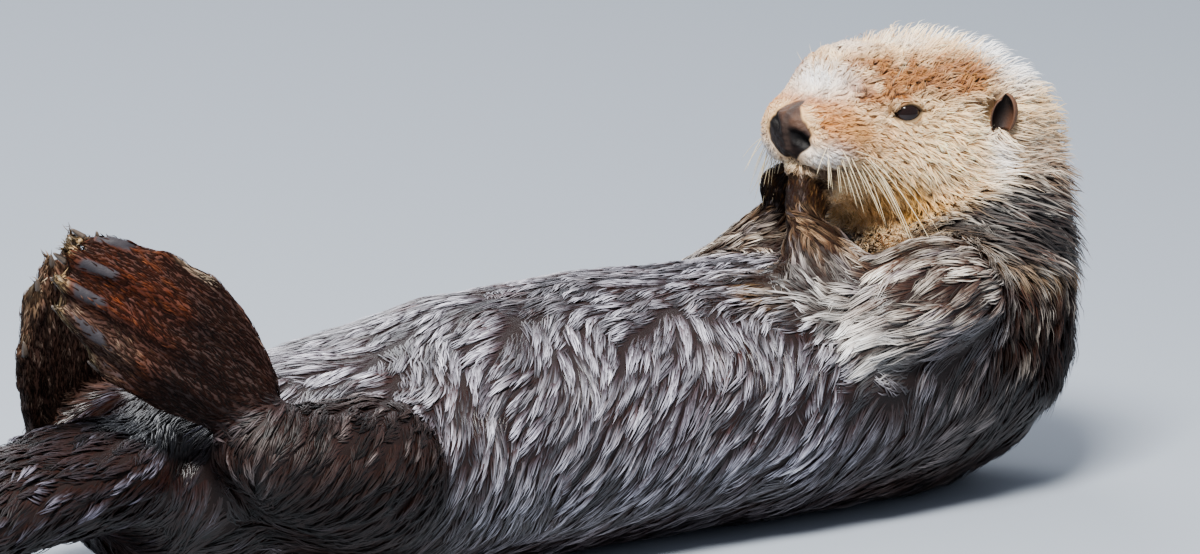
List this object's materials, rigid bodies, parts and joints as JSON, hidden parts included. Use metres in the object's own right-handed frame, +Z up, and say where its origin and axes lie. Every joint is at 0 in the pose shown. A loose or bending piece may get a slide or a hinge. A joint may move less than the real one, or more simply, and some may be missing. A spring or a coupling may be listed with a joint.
{
  "type": "sea otter",
  "caption": "Life-size sea otter lying on its back, head raised, forepaws held to the mouth, hind flippers lifted and thick tail laid out behind.",
  "frame": {"origin": "middle of the box round the whole animal, at the floor", "axes": "+Z up, from the back that lies on the floor toward the belly; +X toward the head end, along the body; -Y is the animal's left side"},
  "size_m": [1.0848, 0.273, 0.2749],
  "materials": {
    "head_coat": "dry, fluffy cream fur with tan patches",
    "body_coat": "wet dark brown fur in pointed locks with a silvery sheen",
    "flipper_coat": "short damp rust-brown fur with bare grey toe pads",
    "eye": "wet, near-black brown",
    "nose_pad": "moist pebbled grey-brown skin",
    "claw": "dark horn, slightly glossy"
  },
  "bodies": {
    "root": {"head": "head_coat", "lower_jaw": "head_coat", "nose": "nose_pad", "eye_left": "eye", "ear_left": "head_coat", "eye_right": "eye", "ear_right": "head_coat", "neck": "body_coat", "chest": "body_coat", "belly": "body_coat", "hips": "body_coat", "tail_root": "body_coat", "tail_middle": "body_coat", "tail_tip": "body_coat", "upper_arm_left": "body_coat", "forearm_left": "body_coat", "forepaw_left": "body_coat", "upper_arm_right": "body_coat", "forearm_right": "body_coat", "forepaw_right": "body_coat", "thigh_left": "body_coat", "shank_left": "body_coat", "claw_left_1": "claw", "claw_left_2": "claw", "claw_left_3": "claw", "claw_left_4": "claw", "claw_left_5": "claw", "hind_foot_left": "flipper_coat", "thigh_right": "body_coat", "shank_right": "body_coat", "claw_right_1": "claw", "claw_right_2": "claw", "claw_right_3": "claw", "claw_right_4": "claw", "claw_right_5": "claw", "hind_foot_right": "flipper_coat"}
  },
  "joints": []
}
